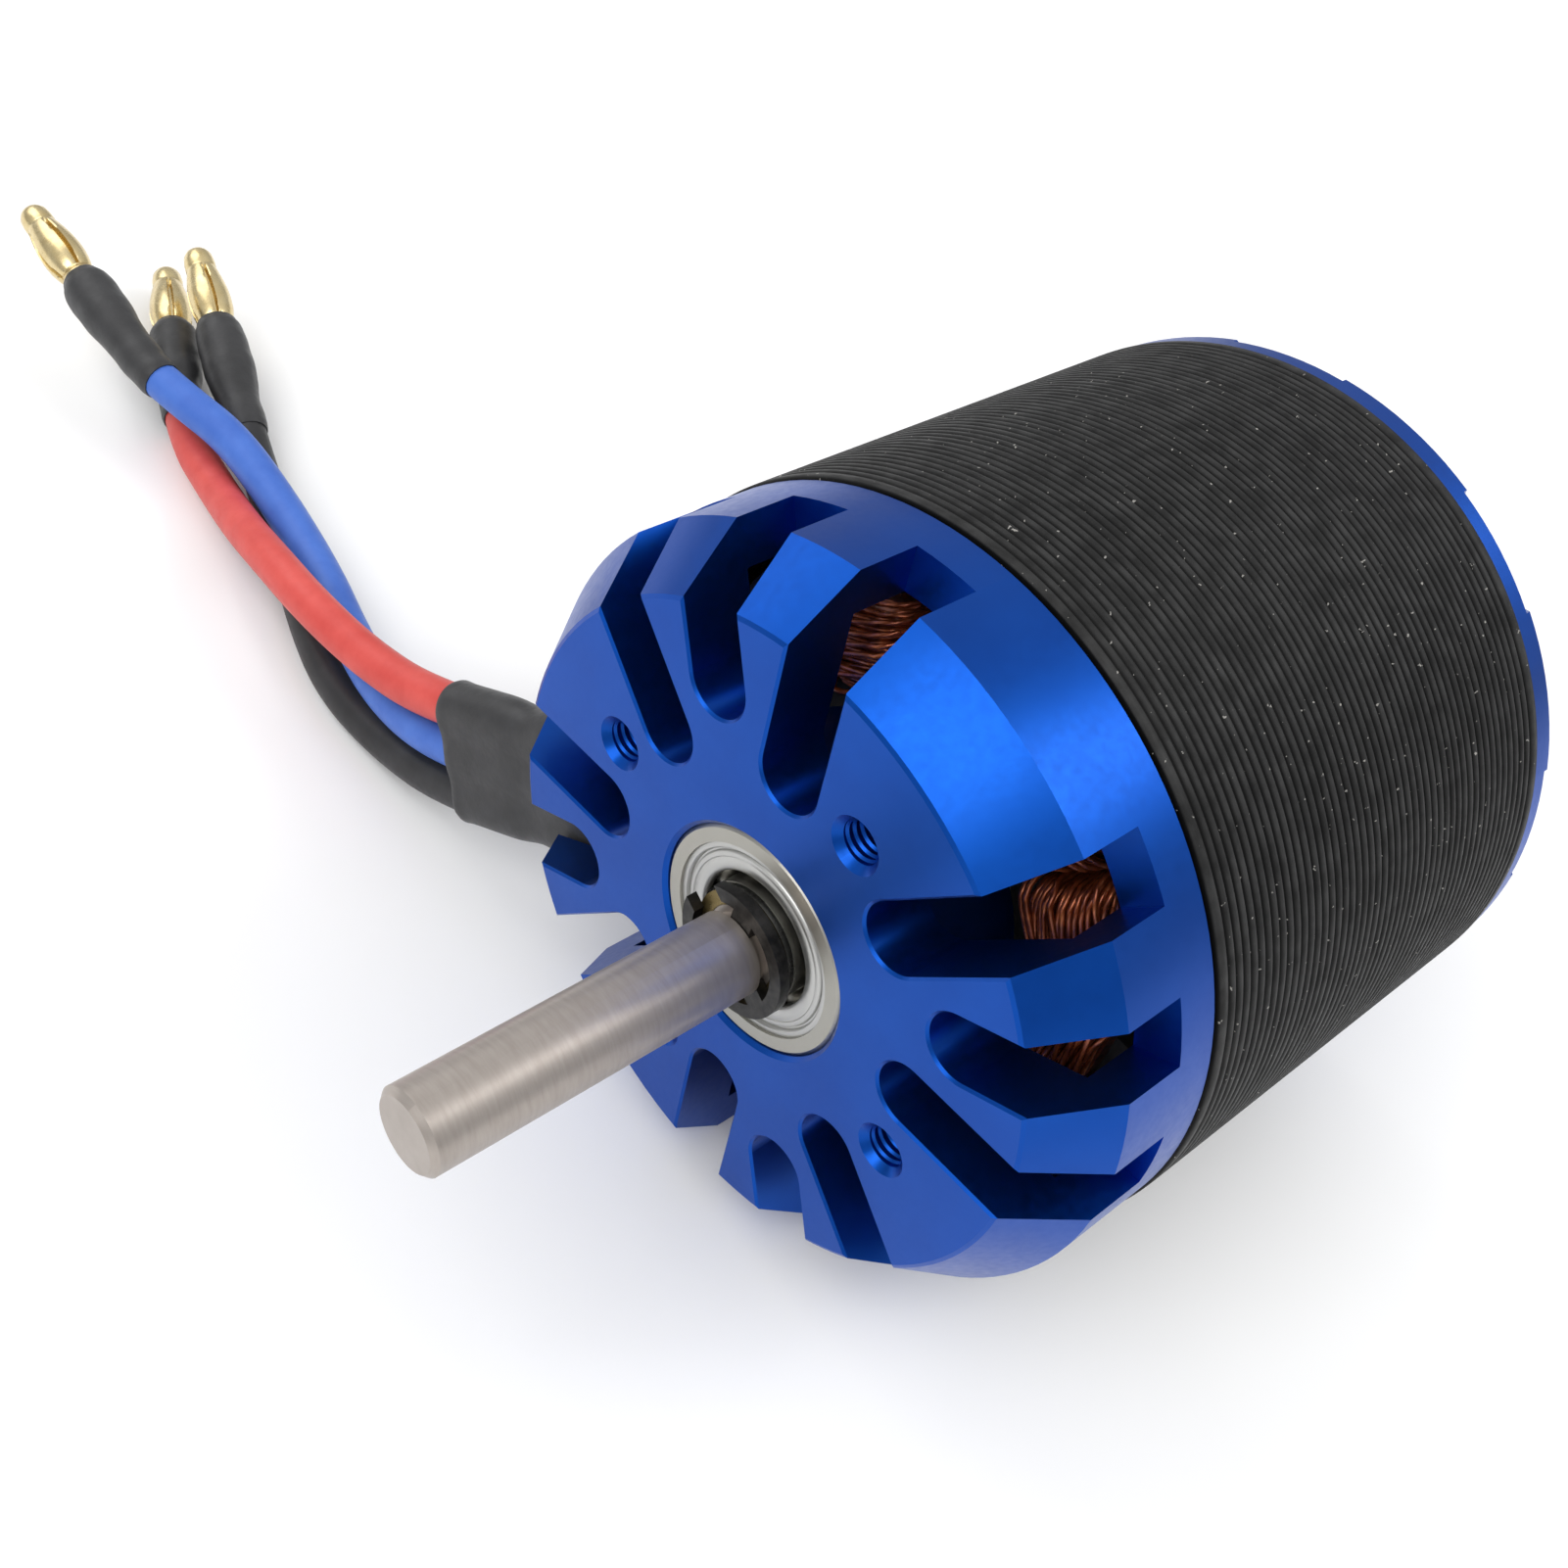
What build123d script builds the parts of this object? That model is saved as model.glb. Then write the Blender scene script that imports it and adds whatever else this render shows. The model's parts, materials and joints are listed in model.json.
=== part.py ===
from build123d import *
from math import cos, sin, tan, radians, pi
import os

# Brushless outrunner motor lying on its side, millimetres.
# The shaft axis is +X, pointing out of the mounting face. The origin is the centre of that face.
# +Z is up, and the motor rests on the plane Z = -CAN_R.

os.makedirs("parts", exist_ok=True)

# ---- driving dimensions ------------------------------------------------------------------
CAN_R = 23.0                 # outside radius of the rotating can
SHAFT_R = 2.5                # 5 mm shaft
SHAFT_TIP_X = 22.0           # free end of the shaft
BEARING_R = 7.0              # 605 bearing: 5 x 14 x 5 mm
BEARING_W = 5.0
LEAD_D = 3.0                 # outside diameter of a 16 AWG silicone lead
POLE_COUNT = 14
TOOTH_COUNT = 12

# front cap
FACE_R = 19.8                # flat mounting face
CAP_R = 22.85                # cap's cylindrical band
CONE_X = -4.15               # where the cone meets the band
CAP_REAR_X = -10.75
PLATE_T = 4.5                # thickness of the face plate
RIM_IN_R = 20.0              # inside of the cap's rim
HUB_R = 9.8                  # boss behind the face, round the bearing
SLOT_W = 4.1                 # milled cooling slots
SLOT_FLOOR_X = -8.1
SLOT_PITCH = 22.5
LONG_SLOT_IN_R = 10.5        # inner end of the two outer slots of each group
SHORT_SLOT_IN_R = 13.5       # inner end of each group's middle slot
HOLE_PHASE = 72.6            # angle of the first mounting hole, from +Y towards +Z
HOLE_PCD = 26.4
TAP_R = 1.25                 # M3 tapping hole
COUNTERSINK_R = 1.65

# rotor can and rear bell
CAN_FRONT_X = -11.05
CAN_REAR_X = -42.25
CAN_IN_R = 21.2
RIB_PITCH = 0.629            # turned ribs round the can
RIB_COUNT = 48
RIB_DEPTH = 0.16
BELL_BAND_X = -43.9          # rear end of the bell's cylindrical band
BELL_REAR_X = -47.6
BELL_FACE_R = 19.6
BELL_PLATE_T = 3.2
WINDOW_PHASE = 62.0          # angle of the first of the bell's eight windows
WINDOW_ANGLE = 20.0
WINDOW_IN_R = 10.5
WINDOW_DEPTH = 4.05          # forward from the bell's rear face, a little way into its band
SPIGOT_X = -39.5             # front end of the spigot inside the can
BELL_HUB_R = 5.5
BELL_HUB_X = -40.9
MAGNET_IN_R = 19.3
MAGNET_ANGLE = 22.0
MAGNET_FRONT_X = -13.0
MAGNET_REAR_X = -38.0

# stator
TUBE_R = 8.0
TUBE_BORE_R = 6.0
TUBE_FRONT_X = -6.2
TUBE_REAR_X = -39.6
CORE_FRONT_X = -13.5
CORE_REAR_X = -36.5
YOKE_R = 11.0
TOOTH_W = 3.4
TIP_IN_R = 17.3
STATOR_R = 18.7
SLOT_OPENING = 1.4
INSULATOR_T = 0.95
COIL_FRONT_X = -9.2
COIL_REAR_X = -40.8
COIL_IN_R = 11.3
COIL_OUT_R = 16.65

# bearings and what holds the shaft in them
FRONT_BEARING_X = -0.2       # front face of the front bearing
REAR_BEARING_X = TUBE_REAR_X # rear face of the rear bearing
RACE_IN_R = 3.6              # outside of the inner ring
RACE_OUT_R = 5.9             # inside of the outer ring
BALL_R = 1.28
BALL_COUNT = 8
CLIP_X = 0.55                # rear face of the retaining clip
CLIP_T = 0.7
GROOVE_R = 2.1

# leads
EXIT_ANGLE = HOLE_PHASE + 135.0      # the leads leave through the middle slot of one group
LEAD_PITCH = 3.3
SLEEVE_WALL = 0.45
SLEEVE_IN, SLEEVE_OUT = -1.0, 13.0   # along the sleeve, from its datum
SPLICE = 9.5                         # where the leads begin inside the sleeve
SHRINK_R = 2.0                       # heat-shrink over each plug's barrel
SHRINK_BACK = {"red": 4.6, "blue": 6.3, "black": 4.6}   # from the lead's end back over the lead
SHRINK_FRONT = {"red": 7.2, "blue": 6.4, "black": 7.2}  # and forward over the barrel
PLUG_BARREL = 6.9
PLUG_LENGTH = 15.4


def write(name, builder):
    """Label a finished piece and write it to its own file."""
    builder.part.label = name
    export_step(builder.part, f"parts/{name}.step")


def around(angle, radius=1.0, x=0.0):
    """A point at an angle and radius about the shaft axis."""
    return Vector(x, radius * cos(radians(angle)), radius * sin(radians(angle)))


def slot_angles(phase):
    """Angles of the long and the short slots for a hole pattern that starts at phase."""
    middles = [phase + 45 + 90 * i for i in range(4)]
    sides = [m + s for m in middles for s in (-SLOT_PITCH, SLOT_PITCH)]
    return sides, middles


def slot_sketch(angles, inner_r, outer_r):
    """Radial slots with round inner ends, for the current sketch in the plane across the shaft."""
    length = outer_r - inner_r - SLOT_W
    for angle in angles:
        with PolarLocations(inner_r + SLOT_W / 2 + length / 2, 1, angle):
            SlotCenterToCenter(length, SLOT_W)


def ring_section(x0, x1, r0, r1):
    """The section of a plain ring about the shaft axis, for the current sketch in the XZ plane."""
    with Locations(((x0 + x1) / 2, (r0 + r1) / 2)):
        Rectangle(abs(x1 - x0), r1 - r0)


# ---- lead exit: a datum plane whose normal runs out along the sleeve -------------------------
EXIT_DIR = Vector(0.14, around(EXIT_ANGLE).Y, around(EXIT_ANGLE).Z).normalized()
ACROSS = Vector(0, -sin(radians(EXIT_ANGLE)), cos(radians(EXIT_ANGLE)))
EXIT_DATUM = around(EXIT_ANGLE, 20.0, -5.4) - ACROSS * 0.3


def exit_plane(along):
    """The plane across the sleeve at a distance along it."""
    return Plane(origin=EXIT_DATUM + EXIT_DIR * along, x_dir=ACROSS, z_dir=EXIT_DIR)


# ---- front cap ---------------------------------------------------------------------------
long_slots, short_slots = slot_angles(HOLE_PHASE)

with BuildPart() as front_cap:
    with BuildSketch(Plane.XZ):
        with BuildLine():
            Polyline(
                (0, BEARING_R + 0.25), (0, FACE_R), (CONE_X, CAP_R), (CAP_REAR_X, CAP_R),
                (CAP_REAR_X, RIM_IN_R), (-PLATE_T, RIM_IN_R), (-PLATE_T, HUB_R),
                (CAP_REAR_X, HUB_R), (CAP_REAR_X, TUBE_R), (TUBE_FRONT_X, TUBE_R),
                (TUBE_FRONT_X, TUBE_BORE_R), (FRONT_BEARING_X - BEARING_W, TUBE_BORE_R),
                (FRONT_BEARING_X - BEARING_W, BEARING_R), (-0.25, BEARING_R), close=True,
            )
        make_face()
    revolve(axis=Axis.X)
    # the slots are plunged from the front and stop before the rear rim
    with BuildSketch(Plane.YZ.offset(1)):
        slot_sketch(long_slots, LONG_SLOT_IN_R, CAN_R + 6)
        slot_sketch(short_slots, SHORT_SLOT_IN_R, CAN_R + 6)
    extrude(amount=SLOT_FLOOR_X - 1, mode=Mode.SUBTRACT)
    # window for the lead sleeve, through the rim behind the face plate
    with BuildSketch(exit_plane(-3.0)):
        SlotOverall(2 * LEAD_PITCH + LEAD_D + 2 * SLEEVE_WALL + 0.6, LEAD_D + 2 * SLEEVE_WALL + 0.4)
    extrude(amount=8, mode=Mode.SUBTRACT)
    # the slots' edges on the face are broken
    face_edges = front_cap.edges().filter_by_position(Axis.X, -0.01, 0.01)
    chamfer(face_edges.filter_by(lambda edge: edge.length < 13), 0.15)
    # tapped mounting holes
    with Locations(Plane.YZ):
        with PolarLocations(HOLE_PCD / 2, 4, HOLE_PHASE):
            CounterSinkHole(TAP_R, COUNTERSINK_R, depth=PLATE_T + 1)
write("front_cap", front_cap)

# ---- stator tube, laminated core, end insulators ----------------------------------------------
with BuildPart() as stator_tube:
    with BuildSketch(Plane.XZ):
        with BuildLine():
            Polyline(
                (TUBE_FRONT_X, TUBE_BORE_R), (TUBE_FRONT_X, TUBE_R), (TUBE_REAR_X, TUBE_R),
                (TUBE_REAR_X, BEARING_R), (TUBE_REAR_X + BEARING_W, BEARING_R),
                (TUBE_REAR_X + BEARING_W, TUBE_BORE_R), close=True,
            )
        make_face()
    revolve(axis=Axis.X)
write("stator_tube", stator_tube)


def tooth_sketch(tip_r):
    """The yoke ring and its teeth, for the current sketch."""
    Circle(YOKE_R)
    with PolarLocations((YOKE_R + tip_r) / 2 - 0.5, TOOTH_COUNT):
        Rectangle(tip_r - YOKE_R + 1, TOOTH_W)
    Circle(TUBE_R, mode=Mode.SUBTRACT)


with BuildPart() as stator_core:
    with BuildSketch(Plane.YZ.offset(CORE_REAR_X)):
        Circle(STATOR_R)
        Circle(TIP_IN_R, mode=Mode.SUBTRACT)
        with PolarLocations(STATOR_R, TOOTH_COUNT, 180 / TOOTH_COUNT):
            Rectangle(6, SLOT_OPENING, mode=Mode.SUBTRACT)
        tooth_sketch(TIP_IN_R + 0.3)
    extrude(amount=CORE_FRONT_X - CORE_REAR_X)
write("stator_core", stator_core)

for name, x in (("front_insulator", CORE_FRONT_X), ("rear_insulator", CORE_REAR_X - INSULATOR_T)):
    with BuildPart() as insulator:
        with BuildSketch(Plane.YZ.offset(x)):
            tooth_sketch(TIP_IN_R)
        extrude(amount=INSULATOR_T)
    write(name, insulator)

# ---- windings: one coil round each tooth ------------------------------------------------------
coil_length = COIL_FRONT_X - COIL_REAR_X
coil_mid_x = (COIL_FRONT_X + COIL_REAR_X) / 2
core_length = CORE_FRONT_X - CORE_REAR_X + 2 * INSULATOR_T


def coil_plane(angle, radius):
    """A plane across a tooth at a given radius."""
    return Plane(origin=around(angle, radius, coil_mid_x), x_dir=(1, 0, 0), z_dir=around(angle))


def coil_width(radius):
    """Width that a coil may have at a radius, with a gap to the next coil."""
    return 2 * (radius * tan(pi / TOOTH_COUNT) - 0.16)


for i in range(TOOTH_COUNT):
    angle = i * 360 / TOOTH_COUNT
    with BuildPart() as coil:
        with BuildSketch(coil_plane(angle, COIL_IN_R)):
            RectangleRounded(coil_length, coil_width(COIL_IN_R), 2.2)
        with BuildSketch(coil_plane(angle, COIL_OUT_R)):
            RectangleRounded(coil_length, coil_width(COIL_OUT_R), 3.2)
        loft()
        with BuildSketch(coil_plane(angle, COIL_IN_R - 1)):
            Rectangle(core_length + 0.1, TOOTH_W + 0.1)
        extrude(amount=COIL_OUT_R - COIL_IN_R + 2, mode=Mode.SUBTRACT)
    write(f"coil_{i + 1:02d}", coil)

# ---- bearings ---------------------------------------------------------------------------------
for name, front_x in (("front_bearing", FRONT_BEARING_X), ("rear_bearing", REAR_BEARING_X + BEARING_W)):
    rear_x, mid_x = front_x - BEARING_W, front_x - BEARING_W / 2
    ball_r_pitch = (RACE_IN_R + RACE_OUT_R) / 2

    with BuildPart() as outer:
        with BuildSketch(Plane.XZ):
            ring_section(front_x, rear_x, RACE_OUT_R, BEARING_R)
        revolve(axis=Axis.X)
        chamfer(outer.edges().filter_by(GeomType.CIRCLE).sort_by(SortBy.RADIUS)[-2:], 0.25)
        with BuildSketch(Plane.XZ):
            with Locations((mid_x, ball_r_pitch)):
                Circle(BALL_R + 0.02)
        revolve(axis=Axis.X, mode=Mode.SUBTRACT)
    write(f"{name}_outer", outer)

    with BuildPart() as inner:
        with BuildSketch(Plane.XZ):
            ring_section(front_x, rear_x, SHAFT_R, RACE_IN_R)
        revolve(axis=Axis.X)
        chamfer(inner.edges().filter_by(GeomType.CIRCLE).sort_by(SortBy.RADIUS)[:2], 0.15)
        with BuildSketch(Plane.XZ):
            with Locations((mid_x, ball_r_pitch)):
                Circle(BALL_R + 0.02)
        revolve(axis=Axis.X, mode=Mode.SUBTRACT)
    write(f"{name}_inner", inner)

    with BuildPart() as balls:
        with Locations(Plane.YZ.offset(mid_x)):
            with PolarLocations(ball_r_pitch, BALL_COUNT):
                Sphere(BALL_R)
    write(f"{name}_balls", balls)

    with BuildPart() as shields:
        with BuildSketch(Plane.XZ):
            for x in (front_x - 0.3, rear_x + 0.3 + 0.25):
                ring_section(x, x - 0.25, RACE_IN_R + 0.22, RACE_OUT_R)
        revolve(axis=Axis.X)
    write(f"{name}_shields", shields)

# ---- rotor: shaft, can, magnets, rear bell ----------------------------------------------------
with BuildPart() as shaft:
    with BuildSketch(Plane.XZ):
        with BuildLine():
            Polyline(
                (BELL_REAR_X + 0.3, 0), (BELL_REAR_X + 0.3, SHAFT_R - 0.3), (BELL_REAR_X + 0.6, SHAFT_R),
                (CLIP_X - 0.05, SHAFT_R), (CLIP_X - 0.05, GROOVE_R),
                (CLIP_X + CLIP_T + 0.05, GROOVE_R), (CLIP_X + CLIP_T + 0.05, SHAFT_R),
                (SHAFT_TIP_X - 0.35, SHAFT_R), (SHAFT_TIP_X, SHAFT_R - 0.35), (SHAFT_TIP_X, 0),
                close=True,
            )
        make_face()
    revolve(axis=Axis.X)
write("shaft", shaft)

with BuildPart() as flux_ring:
    with BuildSketch(Plane.XZ):
        ring_section(CAN_FRONT_X, CAN_REAR_X, CAN_IN_R, CAN_R)
    revolve(axis=Axis.X)
    first_rib_x = (CAN_FRONT_X + CAN_REAR_X) / 2 + RIB_PITCH * (RIB_COUNT - 1) / 2
    with BuildSketch(Plane.XZ):
        for i in range(RIB_COUNT):
            with Locations((first_rib_x - i * RIB_PITCH, CAN_R - RIB_DEPTH / 2)):
                Rectangle(RIB_PITCH * 0.45, RIB_DEPTH)
    revolve(axis=Axis.X, mode=Mode.SUBTRACT)
write("flux_ring", flux_ring)

for i in range(POLE_COUNT):
    angle = (i + 0.5) * 360 / POLE_COUNT
    with BuildPart() as magnet:
        with BuildSketch(Plane.XZ):
            ring_section(MAGNET_FRONT_X, MAGNET_REAR_X, MAGNET_IN_R, CAN_IN_R)
        revolve(axis=Axis.X, revolution_arc=MAGNET_ANGLE)
        chamfer(magnet.edges().filter_by(Axis.X), 0.25)
    magnet.part.label = f"magnet_{i + 1:02d}"
    turned = magnet.part.rotate(Axis.X, angle)
    turned.label = magnet.part.label
    export_step(turned, f"parts/{magnet.part.label}.step")

bell_windows = [WINDOW_PHASE + 45 * i for i in range(8)]
screw_angles = [bell_windows[0], bell_windows[2]]
SCREW_X = BELL_REAR_X + BELL_PLATE_T / 2 + 0.1

with BuildPart() as rear_bell:
    with BuildSketch(Plane.XZ):
        with BuildLine():
            Polyline(
                (BELL_HUB_X, SHAFT_R), (BELL_HUB_X, BELL_HUB_R), (BELL_REAR_X + BELL_PLATE_T, BELL_HUB_R),
                (BELL_REAR_X + BELL_PLATE_T, BELL_FACE_R), (SPIGOT_X, BELL_FACE_R), (SPIGOT_X, CAN_IN_R),
                (CAN_REAR_X, CAN_IN_R), (CAN_REAR_X, CAP_R), (BELL_BAND_X, CAP_R),
                (BELL_REAR_X, BELL_FACE_R), (BELL_REAR_X, SHAFT_R), close=True,
            )
        make_face()
    revolve(axis=Axis.X)
    with BuildSketch(Plane.YZ.offset(BELL_REAR_X - 1)) as windows:
        for angle in bell_windows:
            sides = [around(angle + side * WINDOW_ANGLE / 2) for side in (-1, 1)]
            with BuildLine():
                Polyline(
                    *[(side.Y * WINDOW_IN_R, side.Z * WINDOW_IN_R) for side in sides],
                    *[(side.Y * (CAN_R + 3), side.Z * (CAN_R + 3)) for side in reversed(sides)],
                    close=True,
                )
            make_face()
        inner = [v for v in windows.vertices() if Vector(v.X, v.Y).length < WINDOW_IN_R + 1]
        fillet(inner, 1.0)
    extrude(amount=1 + WINDOW_DEPTH, mode=Mode.SUBTRACT)
    # two radial grub-screw holes, opening into the windows
    for angle in screw_angles:
        screw_plane = Plane(origin=around(angle, 0, SCREW_X), z_dir=around(angle))
        with BuildSketch(screw_plane):
            Circle(1.25)
        extrude(amount=13, mode=Mode.SUBTRACT)
write("rear_bell", rear_bell)

with BuildPart() as grub_screws:
    for angle in screw_angles:
        with BuildSketch(Plane(origin=around(angle, SHAFT_R, SCREW_X), z_dir=around(angle))):
            Circle(1.25)
        extrude(amount=5)
        with BuildSketch(Plane(origin=around(angle, SHAFT_R + 5, SCREW_X), z_dir=around(angle))):
            RegularPolygon(0.72, 6)
        extrude(amount=-1.8, mode=Mode.SUBTRACT)
write("grub_screws", grub_screws)

# ---- washers, clip and spacer on the shaft ------------------------------------------------------
with BuildPart() as steel_washer:
    with BuildSketch(Plane.XZ):
        ring_section(FRONT_BEARING_X, 0.2, SHAFT_R + 0.03, 3.55)
    revolve(axis=Axis.X)
write("steel_washer", steel_washer)

with BuildPart() as bronze_washer:
    with BuildSketch(Plane.XZ):
        ring_section(0.2, CLIP_X, SHAFT_R + 0.03, 3.4)
    revolve(axis=Axis.X)
write("bronze_washer", bronze_washer)

with BuildPart() as retaining_clip:
    with BuildSketch(Plane.YZ.offset(CLIP_X)):
        Circle(4.0)
        Circle(3.15, mode=Mode.SUBTRACT)
        with PolarLocations(2.7, 3, 150 + 60):
            Rectangle(1.3, 1.5)
        Circle(GROOVE_R, mode=Mode.SUBTRACT)
        with PolarLocations(3.6, 1, 150):
            Rectangle(2.4, 3.0, mode=Mode.SUBTRACT)
    extrude(amount=CLIP_T)
write("retaining_clip", retaining_clip)

with BuildPart() as rear_spacer:
    with BuildSketch(Plane.XZ):
        ring_section(TUBE_REAR_X, BELL_HUB_X, SHAFT_R + 0.03, 3.5)
    revolve(axis=Axis.X)
write("rear_spacer", rear_spacer)

# ---- lead sleeve, winding tails -----------------------------------------------------------------
lead_offsets = {"red": -LEAD_PITCH, "blue": 0.0, "black": LEAD_PITCH}
sleeve_width = 2 * LEAD_PITCH + LEAD_D + 2 * SLEEVE_WALL

with BuildPart() as exit_sleeve:
    with BuildSketch(exit_plane(SLEEVE_IN)):
        SlotOverall(sleeve_width, LEAD_D + 2 * SLEEVE_WALL)
    extrude(amount=SLEEVE_OUT - SLEEVE_IN)
    with BuildSketch(exit_plane(SPLICE)):
        for offset in lead_offsets.values():
            with Locations((offset, 0)):
                Circle(LEAD_D / 2)
    extrude(amount=SLEEVE_OUT - SPLICE, mode=Mode.SUBTRACT)
    with BuildSketch(exit_plane(SLEEVE_IN)):
        for offset in lead_offsets.values():
            with Locations((offset, 0)):
                Circle(1.0)
    extrude(amount=SPLICE - SLEEVE_IN, mode=Mode.SUBTRACT)
write("exit_sleeve", exit_sleeve)

with BuildPart() as winding_tails:
    for offset in lead_offsets.values():
        splice = EXIT_DATUM + EXIT_DIR * SPLICE + ACROSS * offset
        bend = splice - EXIT_DIR * 13.2
        coil_end = Vector(COIL_FRONT_X + 0.05, bend.Y, bend.Z)
        with BuildLine():
            tail_path = FilletPolyline(coil_end, bend, splice, radius=1.2)
        with BuildSketch(Plane(origin=tail_path @ 0, z_dir=tail_path % 0)):
            Circle(1.0)
        sweep(path=tail_path)
write("winding_tails", winding_tails)

# ---- leads, heat-shrinks and bullet plugs ----------------------------------------------------------
FLOOR = -CAN_R
ON_FLOOR = FLOOR + LEAD_D / 2 + 0.05
SECOND = ON_FLOOR + LEAD_D + 0.2     # height of a lead that lies on another
SHRINK_ON_FLOOR = FLOOR + SHRINK_R + 0.02


def lead_start(offset):
    """The first two points of a lead: inside the sleeve, and straight out beyond its mouth."""
    splice = EXIT_DATUM + EXIT_DIR * SPLICE + ACROSS * offset
    return [splice, splice + EXIT_DIR * 6.4]


routes = {
    "red": lead_start(lead_offsets["red"]) + [
        Vector(-2.5, -39.8, -14.8), Vector(-2.1, -46.2, -15.1), Vector(-2.8, -52.3, -16.3),
        Vector(-3.9, -58.2, -18.2), Vector(-5.7, -64.8, -20.5), Vector(-7.0, -72.3, SHRINK_ON_FLOOR),
        Vector(-9.8, -78.2, SHRINK_ON_FLOOR),
    ],
    "blue": lead_start(lead_offsets["blue"]) + [
        Vector(-3.6, -38.5, SECOND + 0.1), Vector(-4.7, -44.6, SECOND), Vector(-6.3, -50.6, SECOND),
        Vector(-7.7, -58.9, SECOND), Vector(-7.9, -66.4, -17.3), Vector(-6.6, -71.7, -16.9),
        Vector(-5.9, -76.1, -16.7), Vector(-6.0, -80.5, -16.3),
    ],
    "black": lead_start(lead_offsets["black"]) + [
        Vector(-3.1, -37.2, ON_FLOOR), Vector(-2.9, -43.6, ON_FLOOR), Vector(-4.6, -50.0, ON_FLOOR),
        Vector(-7.4, -57.2, ON_FLOOR), Vector(-9.7, -65.4, -20.9), Vector(-12.4, -73.8, -19.3),
    ],
}


def corner_radii(points):
    """The arc at each corner: as large as the two runs beside it allow."""
    radii = []
    for before, here, after in zip(points, points[1:], points[2:]):
        turn = (here - before).get_angle(after - here)
        shorter = min((here - before).length, (after - here).length)
        radii.append(0.45 * shorter / tan(radians(turn) / 2))
    return radii


for colour, points in routes.items():
    radii = corner_radii(points)
    print(colour, "corner radii", [round(r, 1) for r in radii])
    with BuildPart() as lead:
        with BuildLine():
            lead_path = FilletPolyline(*points, radius=radii)
        with BuildSketch(Plane(origin=lead_path @ 0, z_dir=lead_path % 0)):
            Circle(LEAD_D / 2)
        sweep(path=lead_path)
    length = lead_path.length
    section = pi * LEAD_D**2 / 4
    print(colour, "length", round(length, 1), "volume ratio", round(lead.part.volume / (section * length), 4))
    write(f"lead_{colour}", lead)

    end, direction = points[-1], (points[-1] - points[-2]).normalized()
    back, front = SHRINK_BACK[colour], SHRINK_FRONT[colour]
    covered = lead_path.trim(1 - back / length, 1)
    with BuildPart() as shrink:
        with BuildSketch(Plane(origin=covered @ 0, z_dir=covered % 0)):
            Circle(SHRINK_R - 0.2)
            Circle(LEAD_D / 2, mode=Mode.SUBTRACT)
        sweep(path=covered)
        with BuildSketch(Plane(origin=end, z_dir=direction)):
            Circle(SHRINK_R)
            Circle(LEAD_D / 2, mode=Mode.SUBTRACT)
        extrude(amount=front)
    write(f"heat_shrink_{colour}", shrink)

    spring_rear, spring_front = PLUG_BARREL + 0.3, PLUG_BARREL + 6.2
    with BuildPart() as plug:
        with BuildSketch(Plane.XZ):
            with BuildLine():
                Polyline(
                    (spring_rear, 1.28), (PLUG_BARREL, LEAD_D / 2), (0, LEAD_D / 2), (0, 0),
                    (PLUG_LENGTH, 0),
                )
                ThreePointArc((PLUG_LENGTH, 0), (PLUG_LENGTH - 0.5, 0.95), (PLUG_LENGTH - 1.3, 1.25))
                Line((PLUG_LENGTH - 1.3, 1.25), (spring_front, 1.28))
                ThreePointArc(
                    (spring_front, 1.28), ((spring_front + spring_rear) / 2, 1.78), (spring_rear, 1.28)
                )
            make_face()
        revolve(axis=Axis.X)
        # four slots let the sprung sleeve close up in its socket
        with BuildSketch(Plane.YZ.offset(spring_rear + 0.6)):
            with PolarLocations(1.75, 4, 45):
                Rectangle(1.3, 0.28)
        extrude(amount=5.2, mode=Mode.SUBTRACT)
    placed = Plane(origin=end, x_dir=direction, z_dir=direction.cross(Vector(0, 0, 1))) * plug.part
    placed.label = f"bullet_plug_{colour}"
    export_step(placed, f"parts/bullet_plug_{colour}.step")
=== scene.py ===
import json
import math
import random

import bpy
from mathutils import Matrix, Vector

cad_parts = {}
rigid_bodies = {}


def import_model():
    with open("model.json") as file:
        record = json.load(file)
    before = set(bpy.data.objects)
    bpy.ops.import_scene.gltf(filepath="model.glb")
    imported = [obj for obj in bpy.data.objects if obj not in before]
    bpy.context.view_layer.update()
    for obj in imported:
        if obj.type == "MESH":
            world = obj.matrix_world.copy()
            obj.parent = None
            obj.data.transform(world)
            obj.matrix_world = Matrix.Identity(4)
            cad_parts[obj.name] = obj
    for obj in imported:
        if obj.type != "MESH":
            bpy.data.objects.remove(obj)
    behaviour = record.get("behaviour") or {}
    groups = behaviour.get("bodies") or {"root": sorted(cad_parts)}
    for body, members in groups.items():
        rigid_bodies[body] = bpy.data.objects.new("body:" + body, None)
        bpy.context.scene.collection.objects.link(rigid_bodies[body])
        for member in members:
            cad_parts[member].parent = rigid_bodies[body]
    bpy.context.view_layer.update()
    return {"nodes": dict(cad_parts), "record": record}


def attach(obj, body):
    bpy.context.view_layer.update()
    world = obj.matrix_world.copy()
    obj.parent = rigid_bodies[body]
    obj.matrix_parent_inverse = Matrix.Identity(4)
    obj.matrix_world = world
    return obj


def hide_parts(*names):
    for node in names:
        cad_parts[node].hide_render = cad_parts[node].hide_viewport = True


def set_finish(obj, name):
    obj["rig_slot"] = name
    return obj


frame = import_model()

MM = 0.001
STATOR, ROTOR = "stator", "rotor"


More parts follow.
